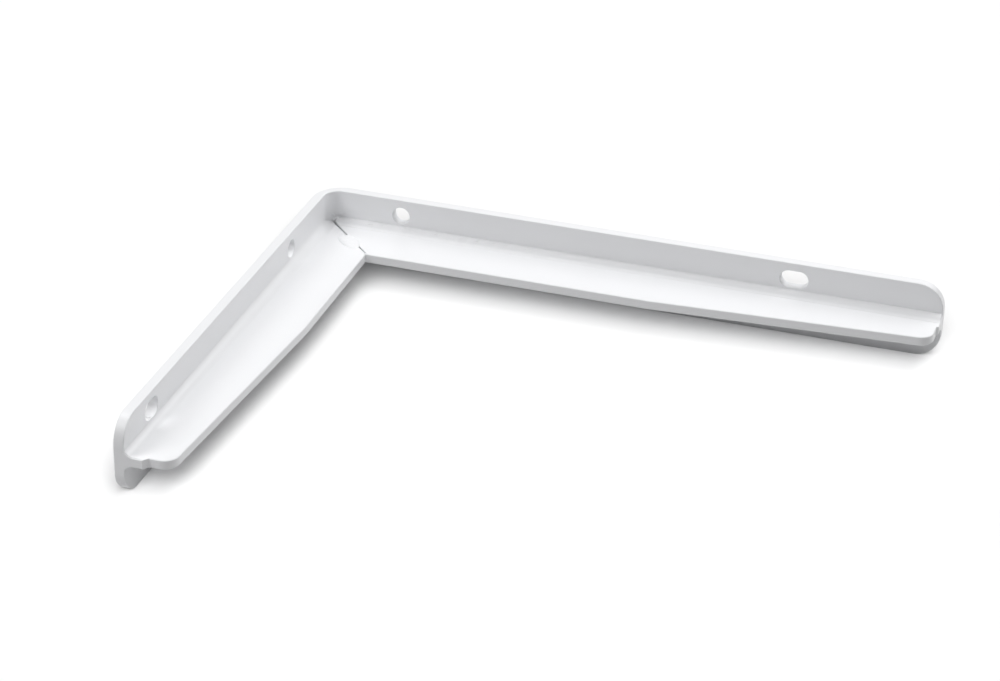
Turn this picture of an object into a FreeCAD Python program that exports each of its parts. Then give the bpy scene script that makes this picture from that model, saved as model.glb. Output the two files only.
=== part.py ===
import FreeCAD, Part
import math
import os

# Shelf bracket bent from one length of rolled T-bar, in millimetres.
# The stem is notched, the flange is bent round the notch, and a short weld holds the mitre shut.
# The bracket lies on the lower edge of its flange, with the stem level at half height.
# Z points up, X runs along the longer arm and the origin is under the middle of the whole part.

# Rolled bar
bar_width = 30.0          # height of the flange, edge to edge
flange_thickness = 4.0
stem_thickness = 3.6
stem_depth = 28.0         # from the flange's outer face to the stem's free edge
root_radius = 4.0         # between the flange and the stem
edge_radius = 0.4         # round the flange's outline and across the bar's ends
stem_bevel = 0.25         # along the stem's free edge
rim_bevel = 0.2           # on the rims of the holes and slots, both sides

# Arms, measured from the sharp corner where the two outer faces would meet
shelf_arm = 250.0
wall_arm = 200.0
bend_outer_radius = 12.0
bend_inner_radius = 6.0   # the flange draws a little thinner round the bend
mitre_gap = 0.8           # cut from the shelf arm's stem, so that the wall arm's ends on the mitre line

# Arm ends
taper_length = 108.5      # the stem narrows over this length to its end
taper_end_depth = 21.0
flange_corner_radius = 10.0
stem_corner_radius = 5.5
end_step_depth = 10.6     # beyond this depth the stem's end is stepped back
end_step_slope = 50.0     # degrees by which the step's face leans from the bar's end
shelf_end_step = 0.8
wall_end_step = 2.0

# Screw holes, in pairs above and below the stem
hole_diameter = 7.0
hole_spacing = 16.4       # across the stem, centre to centre
slot_length = 11.0
shelf_hole_at = 34.0      # from the sharp corner to the round holes' centres
wall_hole_at = 45.0
shelf_slot_from_end = 57.5
wall_slot_from_end = 23.8

# Weld across the mitre, measured along it from the sharp outer corner
weld_centre = 27.0
weld_length = 12.4
weld_width = 7.6
weld_offset = 1.2         # the bead lies a little towards the wall arm
weld_height = 1.0

Z = FreeCAD.Vector(0, 0, 1)
X = FreeCAD.Vector(1, 0, 0)
Y = FreeCAD.Vector(0, 1, 0)
CORNER = FreeCAD.Vector(-shelf_arm / 2, wall_arm / 2, 0)
MID = bar_width / 2
STEM_TOP = MID + stem_thickness / 2
STEM_BOTTOM = MID - stem_thickness / 2
CLEAR = 2.0               # how far cutting tools reach past what they cut
NEAR = 0.01               # places closer than this are the same place
SHARP = 45.0              # an edge folds by at least this many degrees if it is to be eased


class Arm:
    """One arm: u runs out along it, v inward from its outer face and w up."""

    def __init__(self, length, along, inward, mitre_clearance, hole_at, slot_from_end, end_step):
        self.length = length
        self.along = along
        self.inward = inward
        self.mitre_clearance = mitre_clearance
        self.hole_at = hole_at
        self.slot_at = length - slot_from_end
        self.end_step = end_step

    def at(self, u, v, w):
        return CORNER + self.along * u + self.inward * v + Z * w


SHELF = Arm(shelf_arm, X, -Y, mitre_gap, shelf_hole_at, shelf_slot_from_end, shelf_end_step)
WALL = Arm(wall_arm, -Y, X, 0.0, wall_hole_at, wall_slot_from_end, wall_end_step)


def face_from(edges):
    """A flat face inside a closed run of edges."""
    return Part.Face(Part.Wire(edges))


def line(a, b):
    return Part.LineSegment(a, b).toShape()


def arc(a, middle, b):
    return Part.Arc(a, middle, b).toShape()


def quarter(centre, start, end):
    """The middle point of a quarter circle about centre."""
    out = (start - centre) + (end - centre)
    out.normalize()
    return centre + out * (start - centre).Length


def flange_face(offset, radius):
    """Points and arc of the flange's plan line at one depth, from wall end to shelf end."""
    centre = SHELF.at(offset + radius, offset + radius, 0)
    start = WALL.at(offset + radius, offset, 0)
    end = SHELF.at(offset + radius, offset, 0)
    wall_end = WALL.at(wall_arm, offset, 0)
    shelf_end = SHELF.at(shelf_arm, offset, 0)
    return wall_end, start, quarter(centre, start, end), end, shelf_end


def make_flange():
    """The bent flange: its plan outline raised to full height."""
    far_out, out_a, out_mid, out_b, tip_out = flange_face(0.0, bend_outer_radius)
    far_in, in_a, in_mid, in_b, tip_in = flange_face(flange_thickness, bend_inner_radius)
    outline = [
        line(far_out, out_a),
        arc(out_a, out_mid, out_b),
        line(out_b, tip_out),
        line(tip_out, tip_in),
        line(tip_in, in_b),
        arc(in_b, in_mid, in_a),
        line(in_a, far_in),
        line(far_in, far_out),
    ]
    return face_from(outline).extrude(Z * bar_width)


def stem_section(arm):
    """The stem with its two root fillets, across the bar, reaching past its free edge."""
    inside = flange_thickness / 2
    toe = flange_thickness + root_radius
    reach = stem_depth + CLEAR
    low = STEM_BOTTOM - root_radius
    high = STEM_TOP + root_radius

    def p(v, w):
        return arm.at(0, v, w)

    low_centre = p(toe, low)
    high_centre = p(toe, high)
    low_mid = quarter(low_centre, p(flange_thickness, low), p(toe, STEM_BOTTOM))
    high_mid = quarter(high_centre, p(toe, STEM_TOP), p(flange_thickness, high))
    return face_from([
        line(p(inside, low), p(flange_thickness, low)),
        arc(p(flange_thickness, low), low_mid, p(toe, STEM_BOTTOM)),
        line(p(toe, STEM_BOTTOM), p(reach, STEM_BOTTOM)),
        line(p(reach, STEM_BOTTOM), p(reach, STEM_TOP)),
        line(p(reach, STEM_TOP), p(toe, STEM_TOP)),
        arc(p(toe, STEM_TOP), high_mid, p(flange_thickness, high)),
        line(p(flange_thickness, high), p(inside, high)),
        line(p(inside, high), p(inside, low)),
    ])


def stem_plan(arm):
    """Plan outline of one arm's stem: mitre, straight edge, taper, rounded corner and stepped end."""
    clear = arm.mitre_clearance * math.sqrt(2)
    kink = arm.length - taper_length
    slope = (stem_depth - taper_end_depth) / taper_length
    end = arm.length - arm.end_step

    def p(u, v):
        return arm.at(u, v, 0)

    def edge_depth(u):
        return stem_depth - slope * (u - kink)

    # The corner arc touches the end line and the tapered edge.
    lean = math.atan(slope)
    arc_u = end - stem_corner_radius
    arc_v = edge_depth(arc_u) - stem_corner_radius / math.cos(lean)
    turn = (math.pi / 2 + lean) / 2
    on_edge = p(arc_u + stem_corner_radius * math.sin(lean), arc_v + stem_corner_radius * math.cos(lean))
    on_mid = p(arc_u + stem_corner_radius * math.cos(turn - lean),
               arc_v + stem_corner_radius * math.sin(turn - lean))
    on_end = p(end, arc_v)

    # The step's leaning face starts at the bar's end and meets the stepped-back end here.
    step_foot = end_step_depth + arm.end_step / math.tan(math.radians(end_step_slope))

    # At the mitre the stem starts midway through the bent flange.
    inside = flange_thickness / 2
    outer_reach = bend_outer_radius * (1 - math.sqrt(0.5))
    inner_reach = flange_thickness + bend_inner_radius * (1 - math.sqrt(0.5))
    root = (outer_reach + inner_reach) / 2
    straight = max(bend_outer_radius, flange_thickness + bend_inner_radius)
    return face_from([
        line(p(straight, inside), p(root + clear, root)),
        line(p(root + clear, root), p(stem_depth + clear, stem_depth)),
        line(p(stem_depth + clear, stem_depth), p(kink, stem_depth)),
        line(p(kink, stem_depth), on_edge),
        arc(on_edge, on_mid, on_end),
        line(on_end, p(end, step_foot)),
        line(p(end, step_foot), p(arm.length, end_step_depth)),
        line(p(arm.length, end_step_depth), p(arm.length, inside)),
        line(p(arm.length, inside), p(straight, inside)),
    ])


def make_stem(arm):
    """One arm's stem, cut from the rolled section by its plan outline."""
    bar = stem_section(arm).extrude(arm.along * arm.length)
    plan = stem_plan(arm).extrude(Z * bar_width)
    return bar.common(plan)


def corner_cutter(arm, w_edge, sign):
    """Removes one sharp corner of the flange's end and leaves a quarter round."""
    r = flange_corner_radius
    u = arm.length
    depth = flange_thickness + root_radius + CLEAR
    centre = arm.at(u - r, -CLEAR, w_edge - sign * r)
    start = arm.at(u - r, -CLEAR, w_edge)
    end = arm.at(u, -CLEAR, w_edge - sign * r)
    past = arm.at(u + CLEAR, -CLEAR, w_edge - sign * r)
    far = arm.at(u + CLEAR, -CLEAR, w_edge + sign * CLEAR)
    back = arm.at(u - r, -CLEAR, w_edge + sign * CLEAR)
    outline = face_from([
        arc(start, quarter(centre, start, end), end),
        line(end, past),
        line(past, far),
        line(far, back),
        line(back, start),
    ])
    return outline.extrude(arm.inward * (depth + CLEAR))


def hole_cutters(arm):
    """The round holes near the bend and the slots near the end, one each side of the stem."""
    r = hole_diameter / 2
    half = slot_length / 2 - r
    depth = flange_thickness + root_radius + CLEAR
    cutters = []
    for side in (-1, 1):
        w = MID + side * hole_spacing / 2
        cutters.append(Part.makeCylinder(r, depth + CLEAR, arm.at(arm.hole_at, -CLEAR, w), arm.inward))

        def p(u, up):
            return arm.at(arm.slot_at + u, -CLEAR, w + up)

        slot = face_from([
            line(p(-half, r), p(half, r)),
            arc(p(half, r), p(half + r, 0), p(half, -r)),
            line(p(half, -r), p(-half, -r)),
            arc(p(-half, -r), p(-half - r, 0), p(-half, r)),
        ])
        cutters.append(slot.extrude(arm.inward * (depth + CLEAR)))
    return cutters


def middle_of(edge):
    return edge.valueAt((edge.FirstParameter + edge.LastParameter) / 2)


def fold_angle(solid, edge):
    """How far the surface turns at an edge, in degrees. A smooth seam turns by nothing."""
    faces = solid.ancestorsOfType(edge, Part.Face)
    if len(faces) < 2:
        return 0.0
    normals = [face.normalAt(*face.Surface.parameter(middle_of(edge))) for face in faces]
    return math.degrees(normals[0].getAngle(normals[1]))


def depth_of(point):
    """Depth inward from the nearer arm's outer face."""
    place = point - CORNER
    return min(place.dot(arm.inward) for arm in (SHELF, WALL))


def in_mitre(point):
    """Whether a point lies on the faces of the mitre, which stay as they were cut."""
    past_line = (point - CORNER).dot(X + Y)
    within_gap = -NEAR < past_line < mitre_gap * math.sqrt(2) + NEAR
    return within_gap and abs(point.z - MID) < stem_thickness / 2 + root_radius


def on_rim(point):
    """Whether a point lies on the rim of a hole or slot."""
    from_centre = abs(abs(point.z - MID) - hole_spacing / 2)
    if from_centre > hole_diameter / 2 + NEAR or depth_of(point) > flange_thickness + root_radius:
        return False
    for arm in (SHELF, WALL):
        u = (point - CORNER).dot(arm.along)
        if abs(u - arm.hole_at) < hole_diameter / 2 + NEAR:
            return True
        if abs(u - arm.slot_at) < slot_length / 2 + NEAR:
            return True
    return False


def on_end_step(point):
    """Whether a point lies on the leaning face where the stem's end is stepped back."""
    place = point - CORNER
    for arm in (SHELF, WALL):
        u = place.dot(arm.along)
        between_ends = arm.length - arm.end_step + NEAR < u < arm.length - NEAR
        if between_ends and place.dot(arm.inward) > end_step_depth:
            return True
    return False


def sharp_edges(solid, group):
    """The sharp edges of one group: outline of the flange, free edge of the stem, or rims of the holes."""
    found = []
    for edge in solid.Edges:
        point = middle_of(edge)
        depth = depth_of(point)
        upright = abs(edge.tangentAt((edge.FirstParameter + edge.LastParameter) / 2).dot(Z)) > 1 - NEAR
        left_sharp = in_mitre(point) or on_end_step(point) or (upright and depth > flange_thickness + NEAR)
        if left_sharp or fold_angle(solid, edge) < SHARP:
            continue
        if on_rim(point):
            kind = "rims"
        elif depth > end_step_depth:
            kind = "stem"
        else:
            kind = "outline"
        if kind == group:
            found.append(edge)
    return found


def make_bar():
    """The whole bent bar: flange and both stems as one solid, trimmed, drilled and eased at its edges."""
    solid = make_flange().fuse([make_stem(SHELF), make_stem(WALL)])
    cutters = []
    for arm in (SHELF, WALL):
        cutters.append(corner_cutter(arm, bar_width, 1))
        cutters.append(corner_cutter(arm, 0.0, -1))
        cutters.extend(hole_cutters(arm))
    solid = solid.cut(cutters).removeSplitter()
    solid = solid.makeFillet(edge_radius, sharp_edges(solid, "outline"))
    solid = solid.makeChamfer(stem_bevel, sharp_edges(solid, "stem"))
    return solid.makeChamfer(rim_bevel, sharp_edges(solid, "rims"))


def make_weld():
    """The weld: it fills the mitre's gap through the stem and stands as a low oval bead on top."""
    direction = (X - Y) * (1 / math.sqrt(2))
    across = (X + Y) * (1 / math.sqrt(2))
    start = CORNER + direction * (weld_centre - weld_length / 2 + mitre_gap)
    length = weld_length - 2 * mitre_gap
    base = start + Z * STEM_BOTTOM
    a = base + direction * length
    b = a + across * mitre_gap
    c = base + across * mitre_gap
    filler = face_from([line(base, a), line(a, b), line(b, c), line(c, base)]).extrude(Z * stem_thickness)

    # The bead is the top of an ellipsoid whose centre lies one bead height under the stem's face.
    unit = 2 * weld_height
    foot = math.sqrt(unit ** 2 - weld_height ** 2)
    ball = Part.makeSphere(unit)
    stretch = FreeCAD.Matrix()
    stretch.scale(weld_length / 2 / foot, weld_width / 2 / foot, 1)
    ball = ball.transformGeometry(stretch)
    ball.rotate(FreeCAD.Vector(0, 0, 0), Z, -45)
    ball.translate(CORNER + direction * weld_centre - across * weld_offset + Z * (STEM_TOP - weld_height))
    above = Part.makeBox(4 * weld_length, 4 * weld_length, 2 * unit)
    above.translate(CORNER + direction * weld_centre - X * 2 * weld_length - Y * 2 * weld_length + Z * STEM_TOP)
    bead = ball.common(above)
    return filler.fuse(bead).removeSplitter()


os.makedirs("parts", exist_ok=True)
nodes = {
    "bent_t_bar": make_bar(),
    "mitre_weld": make_weld(),
}
for name, shape in nodes.items():
    solid = shape.Solids[0]
    solid.exportStep("parts/" + name + ".step")
    print(name, len(shape.Solids), shape.isValid(), round(solid.Volume, 1), solid.BoundBox)
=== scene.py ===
import math
import random

import bmesh
import bpy
from bpy.props import FloatProperty, FloatVectorProperty, IntProperty, PointerProperty
from bpy.types import Operator, Panel, PropertyGroup
from mathutils import Matrix, Vector


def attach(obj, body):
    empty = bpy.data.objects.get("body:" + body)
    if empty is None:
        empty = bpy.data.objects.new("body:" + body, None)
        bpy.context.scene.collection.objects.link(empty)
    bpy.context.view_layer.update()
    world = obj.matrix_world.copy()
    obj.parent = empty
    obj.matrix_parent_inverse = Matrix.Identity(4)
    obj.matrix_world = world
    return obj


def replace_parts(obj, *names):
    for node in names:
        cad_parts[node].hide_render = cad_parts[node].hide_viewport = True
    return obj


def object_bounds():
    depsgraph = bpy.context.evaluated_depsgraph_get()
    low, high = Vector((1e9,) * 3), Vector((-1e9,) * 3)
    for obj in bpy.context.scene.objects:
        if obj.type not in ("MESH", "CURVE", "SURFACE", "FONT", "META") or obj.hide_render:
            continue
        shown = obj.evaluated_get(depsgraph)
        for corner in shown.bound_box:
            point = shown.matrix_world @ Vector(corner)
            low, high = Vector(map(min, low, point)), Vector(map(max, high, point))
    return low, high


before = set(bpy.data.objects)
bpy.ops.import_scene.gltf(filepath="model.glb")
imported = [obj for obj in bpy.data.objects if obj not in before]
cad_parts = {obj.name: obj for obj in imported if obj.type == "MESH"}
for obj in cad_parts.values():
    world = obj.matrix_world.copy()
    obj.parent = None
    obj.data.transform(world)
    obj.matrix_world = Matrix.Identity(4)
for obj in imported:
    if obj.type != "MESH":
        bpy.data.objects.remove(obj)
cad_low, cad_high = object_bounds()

bl_info = {
    "name": "T-bar Shelf Bracket",
    "version": (1, 0, 0),
    "blender": (4, 5, 0),
    "location": "View3D > Sidebar > Bracket",
    "description": "Powder-coated finish and studio stage for a shelf bracket bent from rolled T-bar",
    "category": "Object",
}

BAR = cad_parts["bent_t_bar"]
MM_PER_M = 1000

# The sharp outer corner where the two flange faces would meet, on the floor.
CORNER = Vector((cad_low.x, cad_high.y, cad_low.z))
STEM_MIDDLE = (cad_low.z + cad_high.z) / 2
STEM_THICKNESS = 0.0036
STEM_TOP = STEM_MIDDLE + STEM_THICKNESS / 2
STEM_BOTTOM = STEM_MIDDLE - STEM_THICKNESS / 2

# Along the mitre from the corner, and across it towards the wall arm.
ALONG_MITRE = Vector((1, -1, 0)).normalized()
ACROSS_MITRE = Vector((-1, -1, 0)).normalized()
UP = Vector((0, 0, 1))

# Each arm runs out along its first direction, has its stem in the second, and is this long.
SHELF_ARM = (Vector((1, 0, 0)), Vector((0, -1, 0)), cad_high.x - cad_low.x)
WALL_ARM = (Vector((0, -1, 0)), Vector((1, 0, 0)), cad_high.y - cad_low.y)
FLANGE_THICKNESS = 0.004
ROOT_RADIUS = 0.004
EDGE_RADIUS = 0.0004
BEND_END = 0.01
STEM_DEPTH = 0.028
HOLE_RADIUS = 0.0035
HOLE_HEIGHT = STEM_MIDDLE + 0.0082

# Faces of the added pieces that meet at more than this angle are shaded with a crease.
CREASE_ANGLE = math.radians(40)

# A point can be in an arm's root only when it lies further along the arm than this, measured from
# the mitre line. The mitre's cut faces lie closer to that line than MITRE_CUT.
ROOT_STARTS = ((SHELF_ARM, 0.0005), (WALL_ARM, -0.0005))
MITRE_CUT = 0.0012

# Points closer than NEAR are one point, a root point may stray by ROOT_SLACK, and directions whose
# cosine is over ALIGNED are one direction.
NEAR = 0.00002
ROOT_SLACK = 0.00005
ALIGNED = 0.999

# Patches in the coat's tone and gloss: their widths, the darkest tone and the spread of roughness.
TONE_PATCH = 0.035
TONE_DARKEST = 0.985
GLOSS_PATCH = 0.012
GLOSS_SPREAD = 0.03

# How the weld bead's edge strays from its oval: waves round it, lead in radians, and share of the
# oval. RIPPLE_BULGE is how far the middle of each ripple bulges.
BEAD_WAVES = ((2, 0.6, 0.05), (3, -1.1, 0.035), (5, 0, 0.02))
RIPPLE_BULGE = 0.7

# Section of the longer arm's root line, a low ridge over the fillet: out from the flange's face and
# up from the stem's, in millimetres. The last ROOT_LINE_HIDDEN points lie inside the bar.
ROOT_LINE = (
    (0, 2.15), (0.5, 2.02), (1, 1.85), (1.5, 1.62), (1.88, 1.36), (2.18, 1.1), (2.48, 0.84),
    (2.87, 0.55), (3.4, 0.28), (4, 0.08), (4.3, -0.2), (0.6, 0.5), (-0.3, 1.4),
)
ROOT_LINE_HIDDEN = 3

# Where the root line starts along the arm, and how far past the mitre line all of it stays.
ROOT_LINE_START = 0.0066
PAST_GAP = 0.00122

# The root line's unevenness: radians per metre, lead in radians, and share.
ROOT_WAVES = ((1100, 0, 1), (2700, 1, 0.6), (6100, 2, 0.3))

# Nibs: how far out from the flange's face in millimetres, the level and slope that they lie on, how
# far they lean, and their length and width with the shares of these that are drawn.
NIB_PLACES = (0.8, 1.7)
NIB_LEVEL = 0.00215
NIB_SLOPE = 0.35
NIB_LEAN = 0.25
NIB_LENGTH = 0.0015
NIB_LENGTH_SHARES = (0.5, 1)
NIB_WIDTH = 0.0009
NIB_WIDTH_SHARES = (0.7, 1.2)

# Torn lips where the notch starts in the root: place along the longer arm, depth, height, lean in
# degrees and length. Their width and height are shares of their length. They lean from LIP_LEVEL and
# stand out towards LIP_OUT.
NOTCH_LIPS = (
    (0.0062, 0.0055, 0.0199, 40, 0.0013),
    (0.0068, 0.0056, 0.0181, -50, 0.0019),
    (0.0087, 0.0047, 0.0189, -30, 0.0012),
    (0.0080, 0.0050, 0.0184, 20, 0.0010),
)
LIP_WIDTH = 0.45
LIP_HEIGHT = 0.42
LIP_LEVEL = (SHELF_ARM[0] * 0.8 - SHELF_ARM[1] * 0.6).normalized()
LIP_OUT = (SHELF_ARM[0] * 0.45 + SHELF_ARM[1] * 0.55 + UP * 0.7).normalized()

# Runs of coat on the lower walls of the holes: arm, place along it, turn round the hole from its
# foot in degrees, and depth. All have the same length, width and height.
RUNS = (
    (SHELF_ARM, 0.034, 45, 0.0029),
    (WALL_ARM, 0.1762, 10, 0.0026),
    (WALL_ARM, 0.1778, 25, 0.0014),
)
RUN_SIZE = (0.0019, 0.0015, 0.0005)

# The coat's bead at each end: how far it lies back from the end, and its points out on the stem.
END_BEAD_BACK = 0.0006
END_BEAD_STEM = (0.0012, 0.0024)

# Soft lamps: name, turn from the front towards the right, height and width in degrees, and share of
# full light that each gives a level face.
BRACKET_LAMPS = (
    ("left_lamp", 300, 42, 26, 0.279),
    ("front_lamp", 15, 52, 26, 0.169),
    ("right_lamp", 120, 42, 26, 0.110),
    ("high_right_lamp", 120, 66, 26, 0.240),
    ("back_right_lamp", 150, 42, 26, 0.130),
    ("wide_back_lamp", 170, 35, 60, 0.111),
    ("high_left_lamp", 240, 66, 26, 0.181),
)
FLOOR_SUNS = (
    ("floor_low_sun", 15, 30, 26, 0.13),
    ("floor_front_sun", 0, 42, 26, 0.25),
    ("floor_right_sun", 30, 42, 30, 0.24),
    ("floor_high_sun", 45, 66, 32, 0.3),
    ("floor_back_sun", 135, 66, 32, 0.1),
)

# The camera's sensor in millimetres, and how near and far it sees in metres.
SENSOR_WIDTH = 36
NEAREST_SEEN = 0.05
FARTHEST_SEEN = 50


class CoatSettings(PropertyGroup):
    """The white powder coat."""

    colour: FloatVectorProperty(
        name="Coat colour", description="Colour of the powder coat",
        subtype="COLOR", size=3, min=0, max=1, default=(0.86, 0.865, 0.88))
    roughness: FloatProperty(
        name="Roughness", description="How dull the cured coat is",
        default=0.31, min=0, max=1)
    peel_size: FloatProperty(
        name="Peel size", description="Width of one orange-peel dimple",
        default=0.0011, min=0.0001, subtype="DISTANCE", unit="LENGTH")
    peel_height: FloatProperty(
        name="Peel height", description="Height of the orange peel",
        default=0.000012, min=0, precision=6, subtype="DISTANCE", unit="LENGTH")
    root_shift: FloatProperty(
        name="Root set back", description="How far the root's fillet is set back into the flange",
        default=0.0007, min=0, precision=5, subtype="DISTANCE", unit="LENGTH")


class StageSettings(PropertyGroup):
    """Floor, lamps and camera."""

    floor_size: FloatProperty(
        name="Floor size", description="Side of the square floor",
        default=8.0, subtype="DISTANCE", unit="LENGTH")
    floor_seen: FloatProperty(
        name="Floor in picture",
        description="Brightness of the floor for the camera and in the coat's reflections",
        default=1.0, min=0)
    floor_bounce: FloatProperty(
        name="Floor bounce", description="Share of the light that the floor throws back",
        default=0.5, min=0, max=1)
    lamp_distance: FloatProperty(
        name="Lamp distance", description="From each lamp to the middle of the bracket",
        default=2.0, subtype="DISTANCE", unit="LENGTH")
    lens: FloatProperty(
        name="Focal length", description="Camera lens on a 36 mm wide frame",
        default=106.35, unit="CAMERA")
    distance: FloatProperty(
        name="Camera distance", description="From the camera to the point it looks at",
        default=1.09234, subtype="DISTANCE", unit="LENGTH")
    azimuth: FloatProperty(
        name="Azimuth", description="Camera's turn round the bracket",
        default=math.radians(17.61), subtype="ANGLE")
    elevation: FloatProperty(
        name="Elevation", description="Camera's height above the horizon",
        default=math.radians(28.58), subtype="ANGLE")
    roll: FloatProperty(
        name="Roll", description="Camera's lean about its own line of sight",
        default=math.radians(1.12), subtype="ANGLE")
    aim: FloatVectorProperty(
        name="Aim", description="Point in the middle of the picture",
        subtype="TRANSLATION", unit="LENGTH", size=3, default=(-0.02698, 0.02639, 0.015))


def nodes_for(name):
    """A new node material, emptied of its first nodes."""
    material = bpy.data.materials.new(name)
    material.use_nodes = True
    material.node_tree.nodes.clear()
    return material, material.node_tree.nodes, material.node_tree.links


def noise(nodes, links, coordinates, size, detail):
    """Cloudy noise whose patches are this wide."""
    texture = nodes.new("ShaderNodeTexNoise")
    texture.inputs["Scale"].default_value = 1 / size
    texture.inputs["Detail"].default_value = detail
    texture.inputs["Roughness"].default_value = 0.5
    links.new(coordinates, texture.inputs["Vector"])
    return texture.outputs["Fac"]


def bump(nodes, links, height, distance):
    """Surface direction for a relief of this height."""
    node = nodes.new("ShaderNodeBump")
    node.inputs["Strength"].default_value = 1.0
    node.inputs["Distance"].default_value = distance
    links.new(height, node.inputs["Height"])
    return node.outputs["Normal"]


def make_coat(settings):
    """Satin powder coat: near-white, with orange peel and faint patches in its tone and gloss."""
    material, nodes, links = nodes_for("white_powder_coat_finish")
    out = nodes.new("ShaderNodeOutputMaterial")
    shader = nodes.new("ShaderNodeBsdfPrincipled")
    place = nodes.new("ShaderNodeTexCoord").outputs["Object"]
    links.new(shader.outputs["BSDF"], out.inputs["Surface"])

    tone = nodes.new("ShaderNodeMix")
    tone.data_type = "RGBA"
    links.new(noise(nodes, links, place, TONE_PATCH, 3), tone.inputs["Factor"])
    tone.inputs["A"].default_value = [c * TONE_DARKEST for c in settings.colour] + [1]
    tone.inputs["B"].default_value = list(settings.colour) + [1]
    links.new(tone.outputs["Result"], shader.inputs["Base Color"])

    gloss = nodes.new("ShaderNodeMapRange")
    gloss.inputs["To Min"].default_value = settings.roughness - GLOSS_SPREAD
    gloss.inputs["To Max"].default_value = settings.roughness + GLOSS_SPREAD
    links.new(noise(nodes, links, place, GLOSS_PATCH, 2), gloss.inputs["Value"])
    links.new(gloss.outputs["Result"], shader.inputs["Roughness"])

    dimples = noise(nodes, links, place, settings.peel_size, 2)
    peel = bump(nodes, links, dimples, settings.peel_height)
    links.new(peel, shader.inputs["Normal"])
    return material


def put_on(piece, material):
    """Gives a piece one material."""
    piece.data.materials.clear()
    piece.data.materials.append(material)


def set_back(spot, normal, arm, start, most):
    """Where a point goes when one arm's root is set back, and whether it ends in the flange's face."""
    side = math.copysign(1, spot.z - STEM_MIDDLE)
    along = (spot - CORNER).dot(arm[0])
    inward = (spot - CORNER).dot(arm[1]) - FLANGE_THICKNESS
    rise = side * (spot.z - STEM_MIDDLE) - STEM_THICKNESS / 2
    past_mitre = along - inward - FLANGE_THICKNESS
    to_centre = (arm[1] * (ROOT_RADIUS - inward) + UP * side * (ROOT_RADIUS - rise))
    # On the eased rim of the arm's end, the root and the flange's face both sink by this much.
    sunk = to_centre.length - ROOT_RADIUS
    in_root = -ROOT_SLACK < sunk < EDGE_RADIUS + ROOT_SLACK
    if max(inward, rise) > ROOT_RADIUS + NEAR or not in_root or past_mitre < start:
        return spot, False
    from_face = inward + sunk
    back = min(most, from_face)
    if along > BEND_END - NEAR:
        return spot - arm[1] * back, from_face < most + NEAR and sunk < NEAR
    if normal.dot(to_centre) < ALIGNED * to_centre.length:
        # The bend's and the mitre's own faces reach down to the root's new surface.
        left = max(0, ROOT_RADIUS - inward - most)
        drop = rise - ROOT_RADIUS + math.sqrt(ROOT_RADIUS ** 2 - left ** 2)
        return spot - UP * side * drop, False
    slide = most if past_mitre < MITRE_CUT else 0
    return spot - arm[1] * back - arm[0] * slide, False


def make_bar(settings):
    """The bar with its root set back, so that the fillet meets the flange's face at a crisp line."""
    mesh = BAR.data.copy()
    mesh.name = "coated_bar"
    normals = [corner.vector.copy() for corner in mesh.corner_normals]
    facing = {loop.vertex_index: normals[loop.index] for loop in mesh.loops}
    for arm, start in ROOT_STARTS:
        flat = set()
        for vertex in BAR.data.vertices:
            normal = facing[vertex.index]
            spot, in_face = set_back(vertex.co, normal, arm, start, settings.root_shift)
            if spot != vertex.co:
                mesh.vertices[vertex.index].co = spot
            if in_face:
                flat.add(vertex.index)
        for face in mesh.polygons:
            if flat.issuperset(face.vertices):
                for corner in face.loop_indices:
                    normals[corner] = arm[1]
    mesh.normals_split_custom_set(normals)
    bar = bpy.data.objects.new("coated_bar", mesh)
    bpy.context.collection.objects.link(bar)
    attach(bar, "root")
    return bar


class BRACKET_OT_coat_bar(Operator):
    """Powder-coat the bent bar and set its root back"""
    bl_idname = "bracket.coat_bar"
    bl_label = "Coat the bar"

    def execute(self, context):
        coat = make_coat(context.scene.bracket_coat)
        put_on(BAR, coat)
        bar = make_bar(context.scene.bracket_coat)
        put_on(bar, coat)
        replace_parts(bar, "bent_t_bar")
        return {"FINISHED"}


class WeldSettings(PropertyGroup):
    """The bead that holds the mitre shut."""

    centre: FloatProperty(
        name="Distance from corner",
        description="From the outer corner to the bead's middle, along the mitre",
        default=0.027, precision=4, subtype="DISTANCE", unit="LENGTH")
    offset: FloatProperty(
        name="Offset", description="How far the bead lies towards the wall arm",
        default=0.0012, precision=4, subtype="DISTANCE", unit="LENGTH")
    length: FloatProperty(
        name="Bead length", description="Along the mitre",
        default=0.0124, precision=4, subtype="DISTANCE", unit="LENGTH")
    width: FloatProperty(
        name="Bead width", description="Across the mitre",
        default=0.0076, precision=4, subtype="DISTANCE", unit="LENGTH")
    height: FloatProperty(
        name="Bead height", description="Above the stem's face",
        default=0.001, precision=4, subtype="DISTANCE", unit="LENGTH")
    ripple: FloatProperty(
        name="Ripple height", description="Height of the weld pool's ripples under the coat",
        default=0.00006, precision=6, subtype="DISTANCE", unit="LENGTH")
    ripples: IntProperty(name="Ripples", description="Ripples along the bead", default=5, min=1)
    gap: FloatProperty(
        name="Gap", description="Width of the gap on the longer arm's side of the mitre",
        default=0.0008, precision=5, subtype="DISTANCE", unit="LENGTH")


def add_box(shape, corner, sides):
    """Adds a box with one corner here and these three edges."""
    spots = []
    for k in range(8):
        spot = corner + sum((side for n, side in enumerate(sides) if k >> n & 1), Vector())
        spots.append(shape.verts.new(spot))
    rings = ((0, 2, 3, 1), (4, 5, 7, 6), (0, 1, 5, 4), (2, 6, 7, 3), (0, 4, 6, 2), (1, 3, 7, 5))
    for ring in rings:
        shape.faces.new([spots[k] for k in ring])


def bead_outline(turn):
    """Where the bead's edge lies at this turn round it, as a share of its oval."""
    return sum((size * math.cos(waves * turn + lead) for waves, lead, size in BEAD_WAVES), 1)


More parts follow.
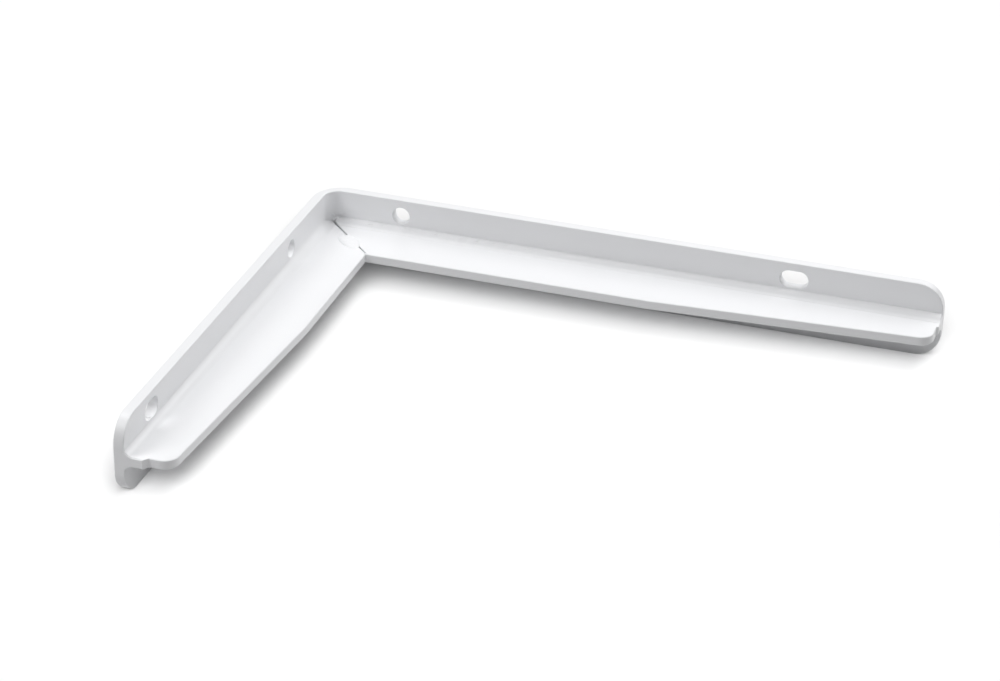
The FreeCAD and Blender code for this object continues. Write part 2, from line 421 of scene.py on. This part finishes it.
def bead_point(settings, reach, turn):
    """A point of the bead's top: reach is 0 at its middle and 1 at its edge."""
    along = settings.length / 2 * reach * math.cos(turn) * bead_outline(turn)
    across = settings.width / 2 * reach * math.sin(turn) * bead_outline(turn)
    # Nearly flat on top, and steep towards its edge.
    dome = 1 - reach ** 4
    # Each ripple is a crescent that bulges away from the corner.
    crescent = along / settings.length + RIPPLE_BULGE * (across / settings.width) ** 2
    ripple = math.sin(2 * math.pi * settings.ripples * crescent) * settings.ripple * dome
    foot = CORNER + ALONG_MITRE * settings.centre + ACROSS_MITRE * settings.offset
    level = STEM_TOP - CORNER.z + settings.height * dome + ripple
    return foot + ALONG_MITRE * along + ACROSS_MITRE * across + UP * level


def make_bead(settings):
    """The weld as a rippled bead, with the metal that fills the gap below it."""
    rings = 18
    steps = 72
    shape = bmesh.new()
    rows = []
    for k in range(1, rings + 1):
        reach = math.sin(math.pi / 2 * k / rings)
        spots = [bead_point(settings, reach, 2 * math.pi * n / steps) for n in range(steps)]
        rows.append([shape.verts.new(spot) for spot in spots])
    sunk = [shape.verts.new(spot.co - UP * settings.height / 2) for spot in rows[-1]]
    rows.append(sunk)
    top = shape.verts.new(bead_point(settings, 0, 0))
    for n in range(steps):
        shape.faces.new((top, rows[0][n], rows[0][(n + 1) % steps]))
    for inner, outer in zip(rows, rows[1:]):
        for n in range(steps):
            after = (n + 1) % steps
            shape.faces.new((inner[n], outer[n], outer[after], inner[after]))
    shape.faces.new(reversed(sunk))
    start = CORNER + ALONG_MITRE * (settings.centre - settings.length / 2 + settings.gap)
    start = start - ACROSS_MITRE * settings.gap + UP * (STEM_BOTTOM - CORNER.z)
    length = settings.length - 2 * settings.gap
    sides = (ALONG_MITRE * length, ACROSS_MITRE * settings.gap, UP * STEM_THICKNESS)
    add_box(shape, start, sides)
    return piece_from(shape, "weld_bead")


class BRACKET_OT_weld(Operator):
    """Lay the rippled weld bead over the mitre"""
    bl_idname = "bracket.weld"
    bl_label = "Lay the weld bead"

    def execute(self, context):
        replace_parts(make_bead(context.scene.bracket_weld), "mitre_weld")
        return {"FINISHED"}


class DetailSettings(PropertyGroup):
    """What the coat leaves behind: root line, nibs, lips, runs, end beads and the filled gap."""

    seed: IntProperty(name="Seed", description="Chooses where the nibs lie", default=7)
    nibs: IntProperty(
        name="Nibs", description="Small grains in the longer arm's root", default=22, min=0)
    first: FloatProperty(
        name="First place", description="Where the nibs start, along the longer arm",
        default=0.018, precision=4, subtype="DISTANCE", unit="LENGTH")
    last: FloatProperty(
        name="Last place", description="Where the nibs end, along the longer arm",
        default=0.09, precision=4, subtype="DISTANCE", unit="LENGTH")
    nib_height: FloatProperty(
        name="Nib height", description="How far a nib stands out",
        default=0.00016, precision=6, subtype="DISTANCE", unit="LENGTH")
    unevenness: FloatProperty(
        name="Unevenness", description="How far the root line swells and sinks",
        default=0.00005, precision=6, subtype="DISTANCE", unit="LENGTH")
    bead_radius: FloatProperty(
        name="End bead", description="Radius of the coat's bead along the upper edge of each end",
        default=0.0002, precision=5, subtype="DISTANCE", unit="LENGTH")
    fill_length: FloatProperty(
        name="Filled length", description="How much of the gap's inner end is filled with coat",
        default=0.0024, precision=4, subtype="DISTANCE", unit="LENGTH")


def on_arm(arm, along, inward, height):
    """A point beside one arm, measured from the sharp corner and up from the floor."""
    return CORNER + arm[0] * along + arm[1] * inward + UP * height


def upper_root(arm, along, turn, shift):
    """A point of the upper root, set back by the shift. Turn 0 is at the flange, 90 at the stem."""
    a = math.radians(turn)
    inward = FLANGE_THICKNESS + max(0, ROOT_RADIUS * (1 - math.cos(a)) - shift)
    height = STEM_TOP + ROOT_RADIUS * (1 - math.sin(a))
    return on_arm(arm, along, inward, height)


def add_lump(shape, place, along, out, length, width, height):
    """Adds a smooth lump on a surface: long one way, and standing out from it by its height."""
    across = out.cross(along).normalized()
    matrix = Matrix((along * length / 2, across * width / 2, out * height)).transposed().to_4x4()
    placed = Matrix.Translation(place) @ matrix
    bmesh.ops.create_icosphere(shape, subdivisions=3, radius=1, matrix=placed)


def add_tube(shape, points, radius, sides=8):
    """Adds a round bead along a line of points, tapered off at both ends."""
    tip = 0.15
    growth = 0.5
    rings = []
    for k, point in enumerate(points):
        ahead = (points[min(k + 1, len(points) - 1)] - points[max(k - 1, 0)]).normalized()
        first = ahead.orthogonal().normalized()
        second = ahead.cross(first)
        size = radius * min(1, tip + growth * min(k, len(points) - 1 - k))
        ring = []
        for n in range(sides):
            a = 2 * math.pi * n / sides
            out = first * math.cos(a) + second * math.sin(a)
            ring.append(shape.verts.new(point + out * size))
        rings.append(ring)
    for near, far in zip(rings, rings[1:]):
        shift = min(range(sides), key=lambda n: (far[n].co - near[0].co).length)
        for n in range(sides):
            after = (n + 1) % sides
            ahead = (far[(after + shift) % sides], far[(n + shift) % sides])
            shape.faces.new((near[n], near[after]) + ahead)
    shape.faces.new(rings[0])
    shape.faces.new(reversed(rings[-1]))


def add_root_line(shape, settings):
    """The longer arm's root line, uneven between the first and the last nib."""
    steps = 480
    last_seen = len(ROOT_LINE) - ROOT_LINE_HIDDEN - 1
    length = SHELF_ARM[2] - (ROOT_LINE_START + EDGE_RADIUS)
    rows = []
    for k in range(steps + 1):
        along = ROOT_LINE_START + length * k / steps
        share = (along - settings.first) / (settings.last - settings.first)
        rough = settings.unevenness * max(0, math.sin(math.pi * min(1, max(0, share)))) ** 0.5
        wave = rough * sum(size * math.sin(rate * along + lead) for rate, lead, size in ROOT_WAVES)
        row = []
        for n, (inward, rise) in enumerate(ROOT_LINE):
            swell = wave * math.sin(math.pi * min(n, last_seen) / last_seen)
            inward = FLANGE_THICKNESS + inward / MM_PER_M + swell
            height = STEM_TOP + rise / MM_PER_M + swell
            spot = on_arm(SHELF_ARM, max(along, inward + PAST_GAP), inward, height)
            row.append(shape.verts.new(spot))
        rows.append(row)
    for near, far in zip(rows, rows[1:]):
        for n in range(len(near)):
            after = (n + 1) % len(near)
            shape.faces.new((near[n], near[after], far[after], far[n]))
    shape.faces.new(rows[0])
    shape.faces.new(reversed(rows[-1]))


def add_root_grains(shape, settings):
    """Nibs, scattered along the longer arm's root line by the seed."""
    pick = random.Random(settings.seed)
    out = (SHELF_ARM[1] * NIB_LEAN + UP).normalized()
    for _ in range(settings.nibs):
        inward = pick.uniform(*NIB_PLACES) / MM_PER_M
        along = pick.uniform(settings.first, settings.last)
        level = STEM_TOP + NIB_LEVEL - NIB_SLOPE * inward
        place = on_arm(SHELF_ARM, along, FLANGE_THICKNESS + inward, level)
        length = NIB_LENGTH * pick.uniform(*NIB_LENGTH_SHARES)
        width = NIB_WIDTH * pick.uniform(*NIB_WIDTH_SHARES)
        add_lump(shape, place, SHELF_ARM[0], out, length, width, settings.nib_height)


def add_lips(shape):
    """The notch's torn lips, each a narrow lump that leans in the corner of the bend."""
    for along, inward, height, lean, length in NOTCH_LIPS:
        a = math.radians(lean)
        way = LIP_LEVEL * math.cos(a) - UP * math.sin(a)
        way = (way - LIP_OUT * way.dot(LIP_OUT)).normalized()
        place = on_arm(SHELF_ARM, along, inward, height)
        add_lump(shape, place, way, LIP_OUT, length, length * LIP_WIDTH, length * LIP_HEIGHT)


def add_runs(shape):
    """Small runs of coat that dried on the lower walls of the holes."""
    for arm, along, turn, inward in RUNS:
        a = math.radians(turn)
        out = -arm[0] * math.sin(a) + UP * math.cos(a)
        place = on_arm(arm, along, inward, HOLE_HEIGHT) - out * HOLE_RADIUS
        add_lump(shape, place, arm[1], out, *RUN_SIZE)


def add_end_beads(shape, settings, shift):
    """The coat's bead on the upper edge of each end, from the flange down the root to the stem."""
    steps = 12
    first_turn = 10
    last_turn = 90
    turns = [first_turn + (last_turn - first_turn) * k / steps for k in range(steps + 1)]
    for arm in (SHELF_ARM, WALL_ARM):
        along = arm[2] - END_BEAD_BACK
        points = [upper_root(arm, along, turn, shift) for turn in turns]
        for past_root in END_BEAD_STEM:
            inward = FLANGE_THICKNESS + ROOT_RADIUS + past_root
            points.append(on_arm(arm, along, inward, STEM_TOP))
        add_tube(shape, points, settings.bead_radius)


def add_gap_fill(shape, settings, gap):
    """Coat in the gap's inner end: nearly flush at the stem's edge, sunk and hollow further in."""
    steps = 14
    lanes = 6
    deepest_hollow = 0.00016
    hollow_at_edge = 0.3
    hollow_growth = 0.25
    grain_height = 0.00005
    grain_waves = ((2.3, 1.7), (1.1, -2.9))
    sunk_at_edge = 0.00004
    sunk_further_in = 0.0011
    foot_level = STEM_BOTTOM + 0.0001
    slant = gap * math.sqrt(2)
    grid = []
    for k in range(steps + 1):
        inward = STEM_DEPTH - settings.fill_length * k / steps
        row = []
        for n in range(lanes + 1):
            side = n / lanes
            depth = min(1, hollow_at_edge + hollow_growth * k)
            hollow = deepest_hollow * (1 - (2 * side - 1) ** 2) * depth
            # Two crossed waves make the surface grainy.
            waves = [math.sin(inwards * k + sideways * n) for inwards, sideways in grain_waves]
            grain = math.prod(waves, start=grain_height)
            sunk = sunk_at_edge + sunk_further_in * (k / steps) ** 2 + hollow + grain
            row.append(on_arm(SHELF_ARM, inward + slant * side, inward, STEM_TOP - sunk))
        grid.append([shape.verts.new(spot) for spot in row])
    foot = []
    for row in grid:
        foot.append([shape.verts.new(Vector((v.co.x, v.co.y, foot_level))) for v in row])
    for rows, turned in ((grid, False), (foot, True)):
        for k in range(steps):
            for n in range(lanes):
                face = [rows[k][n], rows[k][n + 1], rows[k + 1][n + 1], rows[k + 1][n]]
                shape.faces.new(reversed(face) if turned else face)
    for k in (0, steps):
        for n in range(lanes):
            shape.faces.new((grid[k][n], grid[k][n + 1], foot[k][n + 1], foot[k][n]))
    for n in (0, lanes):
        for k in range(steps):
            shape.faces.new((grid[k][n], grid[k + 1][n], foot[k + 1][n], foot[k][n]))


def piece_from(shape, name):
    """A smooth-shaded coated piece that belongs to the bracket's one body."""
    bmesh.ops.recalc_face_normals(shape, faces=shape.faces)
    mesh = bpy.data.meshes.new(name)
    shape.to_mesh(mesh)
    shape.free()
    mesh.shade_smooth()
    mesh.set_sharp_from_angle(angle=CREASE_ANGLE)
    piece = bpy.data.objects.new(name, mesh)
    bpy.context.collection.objects.link(piece)
    put_on(piece, BAR.data.materials[0])
    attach(piece, "root")
    return piece


class BRACKET_OT_details(Operator):
    """Add the coat's root line, nibs, lips, runs and end beads, and fill the gap's inner end"""
    bl_idname = "bracket.details"
    bl_label = "Add the coat's details"

    def execute(self, context):
        settings = context.scene.bracket_details
        grains = bmesh.new()
        add_root_line(grains, settings)
        add_root_grains(grains, settings)
        add_lips(grains)
        add_runs(grains)
        add_end_beads(grains, settings, context.scene.bracket_coat.root_shift)
        piece_from(grains, "coat_grains")
        fill = bmesh.new()
        add_gap_fill(fill, settings, context.scene.bracket_weld.gap)
        piece_from(fill, "gap_fill")
        return {"FINISHED"}


def floor_material(settings):
    """White floor: it takes the shadow, is white to camera and coat, and throws some light back."""
    material, nodes, links = nodes_for("studio_floor")
    out = nodes.new("ShaderNodeOutputMaterial")
    path = nodes.new("ShaderNodeLightPath")
    either = nodes.new("ShaderNodeMath")
    either.operation = "MAXIMUM"
    seen = nodes.new("ShaderNodeBsdfDiffuse")
    bounce = nodes.new("ShaderNodeBsdfDiffuse")
    mix = nodes.new("ShaderNodeMixShader")
    seen.inputs["Color"].default_value = [settings.floor_seen] * 3 + [1]
    bounce.inputs["Color"].default_value = [settings.floor_bounce] * 3 + [1]
    links.new(path.outputs["Is Camera Ray"], either.inputs[0])
    links.new(path.outputs["Is Glossy Ray"], either.inputs[1])
    links.new(either.outputs["Value"], mix.inputs["Fac"])
    links.new(bounce.outputs["BSDF"], mix.inputs[1])
    links.new(seen.outputs["BSDF"], mix.inputs[2])
    links.new(mix.outputs["Shader"], out.inputs["Surface"])
    return material


def make_floor(settings):
    """The square floor under the bracket."""
    half = settings.floor_size / 2
    mesh = bpy.data.meshes.new("studio_floor")
    corners = [(-half, -half, 0), (half, -half, 0), (half, half, 0), (-half, half, 0)]
    mesh.from_pydata(corners, [], [(0, 1, 2, 3)])
    mesh.materials.append(floor_material(settings))
    floor = bpy.data.objects.new("studio_floor", mesh)
    bpy.context.collection.objects.link(floor)
    return floor


def make_world():
    """No light of its own, and white where the camera sees past the floor."""
    world = bpy.data.worlds.new("studio_sky")
    bpy.context.scene.world = world
    world.use_nodes = True
    nodes = world.node_tree.nodes
    links = world.node_tree.links
    nodes.clear()
    out = nodes.new("ShaderNodeOutputWorld")
    path = nodes.new("ShaderNodeLightPath")
    white = nodes.new("ShaderNodeBackground")
    mix = nodes.new("ShaderNodeMixShader")
    white.inputs["Color"].default_value = (1, 1, 1, 1)
    white.inputs["Strength"].default_value = 1.0
    links.new(path.outputs["Is Camera Ray"], mix.inputs["Fac"])
    links.new(white.outputs["Background"], mix.inputs[2])
    links.new(mix.outputs["Shader"], out.inputs["Surface"])


def receivers(floor, state):
    """A lamp's list of what it lights: the floor alone, or all but the floor."""
    listed = bpy.data.collections.new("floor_" + state.lower())
    listed.objects.link(floor)
    listed.collection_objects[0].light_linking.link_state = state
    return listed


def hang(name, data, lit, away, distance):
    """Hangs a lamp this way from the bracket's middle and this far off, turned towards it."""
    lamp = bpy.data.objects.new(name, data)
    lamp.location = away * distance
    lamp.rotation_mode = "QUATERNION"
    lamp.rotation_quaternion = (-away).to_track_quat("-Z", "Y")
    lamp.light_linking.receiver_collection = lit
    bpy.context.collection.objects.link(lamp)


def direction(turn, height):
    """Unit vector away from the bracket, turned from the front towards the right and this high."""
    flat = math.cos(height)
    return Vector((math.sin(turn) * flat, -math.cos(turn) * flat, math.sin(height)))


def make_lamp(settings, lit, name, turn, height, width, share):
    """A round soft lamp that gives a level face at the bracket this share of full light."""
    away = direction(math.radians(turn), math.radians(height))
    data = bpy.data.lights.new(name, "AREA")
    data.shape = "DISK"
    data.size = 2 * settings.lamp_distance * math.tan(math.radians(width) / 2)
    data.energy = share * (math.pi * settings.lamp_distance) ** 2 / away.z
    hang(name, data, lit, away, settings.lamp_distance)


def make_sun(settings, lit, name, turn, height, width, share):
    """An even light for the floor: this wide in the sky, and giving it this share of full light."""
    away = direction(math.radians(turn), math.radians(height))
    data = bpy.data.lights.new(name, "SUN")
    data.angle = math.radians(width)
    data.energy = share * math.pi / away.z
    hang(name, data, lit, away, settings.lamp_distance)


def make_camera(settings):
    """A long lens from the front, above and a little to the right."""
    lean = settings.roll
    back = direction(settings.azimuth, settings.elevation)
    right = Vector((math.cos(settings.azimuth), math.sin(settings.azimuth), 0))
    up = back.cross(right)
    right_rolled = right * math.cos(lean) + up * math.sin(lean)
    up_rolled = up * math.cos(lean) - right * math.sin(lean)
    data = bpy.data.cameras.new("camera")
    data.lens = settings.lens
    data.sensor_width = SENSOR_WIDTH
    data.clip_start = NEAREST_SEEN
    data.clip_end = FARTHEST_SEEN
    camera = bpy.data.objects.new("camera", data)
    turn = Matrix((right_rolled, up_rolled, back)).transposed().to_4x4()
    place = Vector(settings.aim) + back * settings.distance
    camera.matrix_world = Matrix.Translation(place) @ turn
    bpy.context.collection.objects.link(camera)
    bpy.context.scene.camera = camera


class BRACKET_OT_stage(Operator):
    """Build the pale floor, the soft lamps and the camera"""
    bl_idname = "bracket.stage"
    bl_label = "Build the stage"

    def execute(self, context):
        settings = context.scene.bracket_stage
        floor = make_floor(settings)
        make_world()
        sets = ((BRACKET_LAMPS, make_lamp, "EXCLUDE"), (FLOOR_SUNS, make_sun, "INCLUDE"))
        for lamps, make, state in sets:
            lit = receivers(floor, state)
            for lamp in lamps:
                make(settings, lit, *lamp)
        make_camera(settings)
        context.scene.view_settings.view_transform = "Standard"
        return {"FINISHED"}


class BRACKET_PT_panel(Panel):
    """Shows the bracket's settings and the buttons that build it"""
    bl_idname = "BRACKET_PT_panel"
    bl_label = "Shelf bracket"
    bl_space_type = "VIEW_3D"
    bl_region_type = "UI"
    bl_category = "Bracket"

    def draw(self, context):
        layout = self.layout
        scene = context.scene
        groups = (
            scene.bracket_coat, scene.bracket_weld, scene.bracket_details, scene.bracket_stage)
        for group in groups:
            box = layout.box()
            for name in group.__annotations__:
                box.prop(group, name)
        for operator in OPERATORS:
            layout.operator(operator.bl_idname)


SETTINGS = (CoatSettings, WeldSettings, DetailSettings, StageSettings)
OPERATORS = (BRACKET_OT_stage, BRACKET_OT_coat_bar, BRACKET_OT_weld, BRACKET_OT_details)
CLASSES = SETTINGS + OPERATORS + (BRACKET_PT_panel,)


def register():
    for cls in CLASSES:
        bpy.utils.register_class(cls)
    bpy.types.Scene.bracket_coat = PointerProperty(type=CoatSettings)
    bpy.types.Scene.bracket_weld = PointerProperty(type=WeldSettings)
    bpy.types.Scene.bracket_details = PointerProperty(type=DetailSettings)
    bpy.types.Scene.bracket_stage = PointerProperty(type=StageSettings)


def unregister():
    del bpy.types.Scene.bracket_stage
    del bpy.types.Scene.bracket_details
    del bpy.types.Scene.bracket_weld
    del bpy.types.Scene.bracket_coat
    for cls in reversed(CLASSES):
        bpy.utils.unregister_class(cls)


def main():
    register()
    bpy.ops.bracket.stage()
    bpy.ops.bracket.coat_bar()
    bpy.ops.bracket.weld()
    bpy.ops.bracket.details()


if __name__ == "__main__":
    main()
